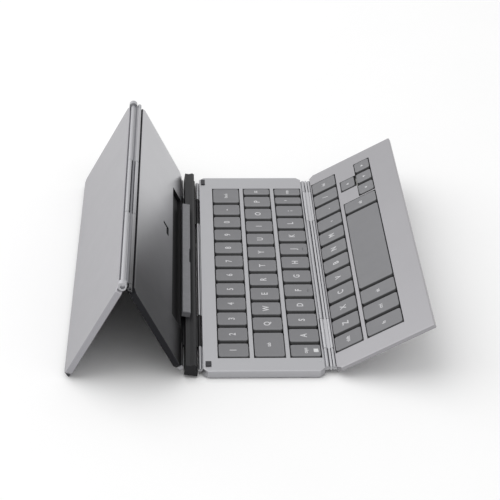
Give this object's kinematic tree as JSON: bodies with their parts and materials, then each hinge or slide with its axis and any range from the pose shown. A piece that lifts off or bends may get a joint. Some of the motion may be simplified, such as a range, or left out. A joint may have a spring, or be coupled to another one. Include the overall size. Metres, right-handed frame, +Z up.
{
  "type": "folding keyboard",
  "caption": "Pocket keyboard whose hinged key panels, phone-rest spine and folding stand open from a flat block into a typing surface with a prop.",
  "frame": {"origin": "middle of the bounding box on X and Y, on the surface that the part stands on", "axes": "+X runs from the stand towards the typist, +Y along the key rows from the tab key to the arrow keys, +Z up"},
  "size_m": [0.1854, 0.21, 0.0567],
  "materials": {
    "panel_metal": "fine satin, light silver-grey",
    "hinge_leaf": "satin",
    "hinge_pin": "ground",
    "front_link": "satin",
    "ridge_link": "satin dark grey",
    "spine": "satin dark grey",
    "rest_bar": "matt mid grey",
    "pocket_liner": "matt black",
    "key": "fine matt grey",
    "key_window": "clear, lit from below",
    "light": "clear",
    "screw": "blackened",
    "key_wire": "drawn wire",
    "circuit_board": "green laminate",
    "dome_sheet": "translucent white",
    "key_guide": "matt black",
    "socket": "tinned",
    "battery": "foil pouch",
    "magnet": "nickel plated",
    "ribbon": "amber film",
    "foot": "matt"
  },
  "bodies": {
    "main_panel": {"main_deck_frame": "panel_metal", "main_bottom_cover": "panel_metal", "main_spine_leaf": "hinge_leaf", "main_front_leaf": "hinge_leaf", "main_screws": "screw", "main_circuit_board": "circuit_board", "main_dome_sheet": "dome_sheet", "main_key_guide": "key_guide", "charging_socket": "socket", "status_light": "light", "main_bumpers": "foot", "main_feet": "foot"},
    "front_link": {"front_link": "front_link", "front_ribbon_cable": "ribbon", "front_link_pins": "hinge_pin"},
    "front_panel": {"front_deck_frame": "panel_metal", "front_bottom_cover": "panel_metal", "front_leaf": "hinge_leaf", "front_screws": "screw", "front_feet": "foot", "front_circuit_board": "circuit_board", "front_dome_sheet": "dome_sheet", "front_key_guide": "key_guide", "battery_cell": "battery", "front_magnets": "magnet"},
    "spine": {"spine_body": "spine", "phone_rest_bar": "rest_bar", "spine_pins": "hinge_pin"},
    "stand_panel": {"stand_front_shell": "panel_metal", "stand_back_shell": "panel_metal", "stand_lower_leaf": "hinge_leaf", "stand_upper_leaf": "hinge_leaf", "stand_pocket_liner": "pocket_liner", "stand_screws": "screw", "stand_magnets": "magnet"},
    "ridge_link": {"ridge_link": "ridge_link", "ridge_pins": "hinge_pin"},
    "cover_panel": {"cover_leaf": "hinge_leaf", "cover_outer_shell": "panel_metal", "cover_inner_shell": "panel_metal", "cover_foot_strip": "foot"},
    "row_one_keys": {"row_one_keys": "key"},
    "backspace_key": {"backspace_key": "key"},
    "tab_key": {"tab_key": "key"},
    "row_two_keys": {"row_two_keys": "key"},
    "row_three_keys": {"row_three_keys": "key"},
    "caps_key": {"caps_key": "key", "caps_key_window": "key_window"},
    "row_four_keys": {"row_four_keys": "key"},
    "row_five_left_keys": {"row_five_left_keys": "key"},
    "space_bar": {"space_bar": "key", "space_bar_wire": "key_wire"},
    "row_five_right_key": {"row_five_right_key": "key"},
    "arrow_left_key": {"arrow_left_key": "key"},
    "arrow_down_key": {"arrow_down_key": "key"},
    "arrow_right_key": {"arrow_right_key": "key"},
    "arrow_up_key": {"arrow_up_key": "key"}
  },
  "joints": [
    {"name": "spine_hinge", "type": "hinge", "parent": "main_panel", "child": "spine", "pos_m": [-0.02451, 0, 0.0025], "axis": [0, 1, 0], "range_deg": [-10.2, 79.8]},
    {"name": "stand_hinge", "type": "hinge", "parent": "spine", "child": "stand_panel", "pos_m": [-0.03451, 0, 0.0043], "axis": [0, 1, 0], "range_deg": [-53.3, 36.7]},
    {"name": "ridge_link_hinge", "type": "hinge", "parent": "stand_panel", "child": "ridge_link", "pos_m": [-0.05883, 0, 0.05307], "axis": [0, 1, 0], "range_deg": [-46.4, 43.6]},
    {"name": "cover_hinge", "type": "hinge", "parent": "ridge_link", "child": "cover_panel", "pos_m": [-0.0624, 0, 0.05437], "axis": [0, 1, 0], "range_deg": [-9.07, 80.93]},
    {"name": "front_link_hinge", "type": "hinge", "parent": "main_panel", "child": "front_link", "pos_m": [0.03999, 0, 0.0035], "axis": [0, -1, 0], "range_deg": [0, 90]},
    {"name": "front_panel_hinge", "type": "hinge", "parent": "front_link", "child": "front_panel", "pos_m": [0.04359, 0, 0.0035], "axis": [0, -1, 0], "range_deg": [-29.5, 60.5]},
    {"name": "row_one_keys_press", "type": "slide", "parent": "main_panel", "child": "row_one_keys", "axis": [0, 0, -1], "range_m": [0, 0.001], "stiffness_N_per_m": 6600},
    {"name": "backspace_key_press", "type": "slide", "parent": "main_panel", "child": "backspace_key", "axis": [0, 0, -1], "range_m": [0, 0.001], "stiffness_N_per_m": 600},
    {"name": "tab_key_press", "type": "slide", "parent": "main_panel", "child": "tab_key", "axis": [0, 0, -1], "range_m": [0, 0.001], "stiffness_N_per_m": 600},
    {"name": "row_two_keys_press", "type": "slide", "parent": "main_panel", "child": "row_two_keys", "axis": [0, 0, -1], "range_m": [0, 0.001], "stiffness_N_per_m": 6600},
    {"name": "row_three_keys_press", "type": "slide", "parent": "main_panel", "child": "row_three_keys", "axis": [0, 0, -1], "range_m": [0, 0.001], "stiffness_N_per_m": 7200},
    {"name": "caps_key_press", "type": "slide", "parent": "main_panel", "child": "caps_key", "axis": [0, 0, -1], "range_m": [0, 0.001], "stiffness_N_per_m": 600},
    {"name": "row_four_keys_press", "type": "slide", "parent": "front_panel", "child": "row_four_keys", "axis": [0.4924, 0, -0.8704], "range_m": [0, 0.001], "stiffness_N_per_m": 7200},
    {"name": "row_five_left_keys_press", "type": "slide", "parent": "front_panel", "child": "row_five_left_keys", "axis": [0.4924, 0, -0.8704], "range_m": [0, 0.001], "stiffness_N_per_m": 1800},
    {"name": "space_bar_press", "type": "slide", "parent": "front_panel", "child": "space_bar", "axis": [0.4924, 0, -0.8704], "range_m": [0, 0.001], "stiffness_N_per_m": 1200},
    {"name": "row_five_right_key_press", "type": "slide", "parent": "front_panel", "child": "row_five_right_key", "axis": [0.4924, 0, -0.8704], "range_m": [0, 0.001], "stiffness_N_per_m": 600},
    {"name": "arrow_left_key_press", "type": "slide", "parent": "front_panel", "child": "arrow_left_key", "axis": [0.4924, 0, -0.8704], "range_m": [0, 0.001], "stiffness_N_per_m": 600},
    {"name": "arrow_down_key_press", "type": "slide", "parent": "front_panel", "child": "arrow_down_key", "axis": [0.4924, 0, -0.8704], "range_m": [0, 0.001], "stiffness_N_per_m": 600},
    {"name": "arrow_right_key_press", "type": "slide", "parent": "front_panel", "child": "arrow_right_key", "axis": [0.4924, 0, -0.8704], "range_m": [0, 0.001], "stiffness_N_per_m": 600},
    {"name": "arrow_up_key_press", "type": "slide", "parent": "front_panel", "child": "arrow_up_key", "axis": [0.4924, 0, -0.8704], "range_m": [0, 0.001], "stiffness_N_per_m": 600}
  ]
}
